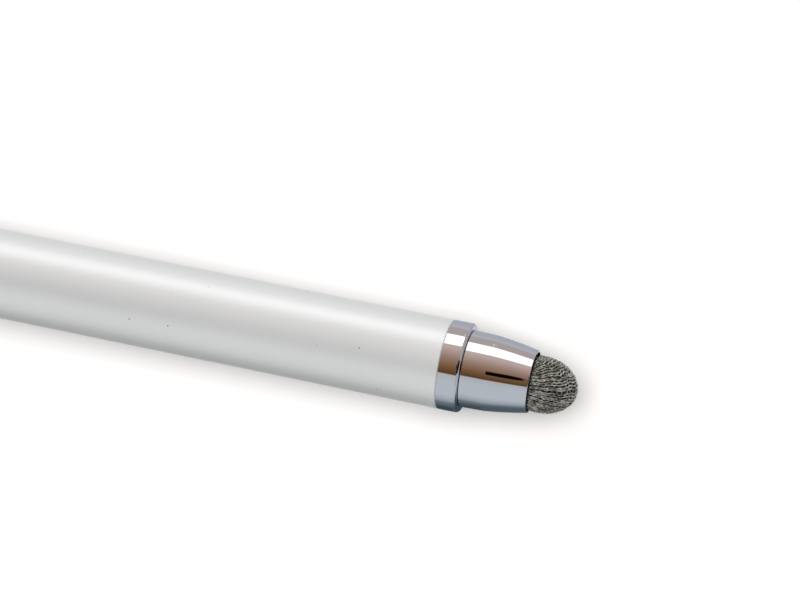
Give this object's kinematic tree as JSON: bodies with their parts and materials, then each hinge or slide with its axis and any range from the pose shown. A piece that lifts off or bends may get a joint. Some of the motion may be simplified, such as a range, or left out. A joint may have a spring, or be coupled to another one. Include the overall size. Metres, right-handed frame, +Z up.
{
  "type": "stylus pen",
  "caption": "Round stylus pen: white barrel, chrome collar and screw-on nose with a knitted dome touch tip, and a ballpoint under a cap with a pocket clip.",
  "frame": {"origin": "on the pen's axis at the barrel's touch-end face", "axes": "+X along the pen towards the touch tip, +Z up with the pen lying on its side and its clip on the table"},
  "size_m": [0.1404, 0.0106, 0.009],
  "materials": {
    "pearl_white": "satin pearl paint",
    "chrome": "bright plating",
    "knit_mesh": "metallised knit",
    "conductive_rubber": "matt",
    "black_rubber": "matt",
    "brass": "turned",
    "nickel_brass": "turned",
    "steel": "bright",
    "satin_metal": "satin plating",
    "white_plastic": "moulded",
    "refill_plastic": "extruded",
    "blue_ink": "wet",
    "clear_grease": "wet"
  },
  "bodies": {
    "barrel": {"barrel": "pearl_white", "collar": "chrome", "end_bush": "brass"},
    "tip_insert": {"tip_holder": "brass"},
    "nose": {"nose": "chrome"},
    "touch_tip": {"tip_core": "conductive_rubber", "mesh_tip": "knit_mesh", "mesh_crimp_ring": "steel"},
    "refill": {"refill_tube": "refill_plastic", "refill_ink": "blue_ink", "refill_follower": "clear_grease", "refill_point": "nickel_brass"},
    "ball": {"writing_ball": "steel"},
    "section": {"section": "satin_metal", "section_o_ring": "black_rubber", "refill_grip": "white_plastic", "centre_band": "chrome"},
    "cap": {"cap_tube": "pearl_white", "cap_liner": "white_plastic", "cap_plug": "brass", "clip_ring": "chrome", "finial": "chrome"},
    "clip": {"clip_arm": "chrome"}
  },
  "joints": [
    {"name": "tip_draw", "type": "slide", "parent": "barrel", "child": "tip_insert", "axis": [1, 0, 0], "range_m": [0, 0.003]},
    {"name": "nose_unscrew", "type": "hinge", "parent": "tip_insert", "child": "nose", "pos_m": [0, 0, 0], "axis": [1, 0, 0], "range_deg": [0, 2160]},
    {"name": "tip_press", "type": "slide", "parent": "tip_insert", "child": "touch_tip", "axis": [-1, 0, 0], "range_m": [0, 0.0008], "stiffness_N_per_m": 1250},
    {"name": "refill_draw", "type": "slide", "parent": "barrel", "child": "refill", "axis": [-1, 0, 0], "range_m": [0, 0.006]},
    {"name": "section_unscrew", "type": "hinge", "parent": "refill", "child": "section", "pos_m": [-0.072, 0, 0], "axis": [-1, 0, 0], "range_deg": [0, 2880]},
    {"name": "cap_pull", "type": "slide", "parent": "section", "child": "cap", "axis": [-1, 0, 0], "range_m": [0, 0.045]},
    {"name": "clip_flex", "type": "hinge", "parent": "cap", "child": "clip", "pos_m": [-0.12365, -0.00501, -0.00283], "axis": [0, 0.4918, -0.8707], "range_deg": [0, 3], "stiffness_Nm_per_rad": 3},
    {"name": "ball_roll", "type": "hinge", "parent": "refill", "child": "ball", "pos_m": [-0.10605, 0, 0], "axis": [0, 1, 0], "continuous": true}
  ],
  "couplings": [
    {"joint": "nose_unscrew", "follows": "tip_draw", "rad_per_m": 12566},
    {"joint": "section_unscrew", "follows": "refill_draw", "rad_per_m": 8377.6}
  ]
}
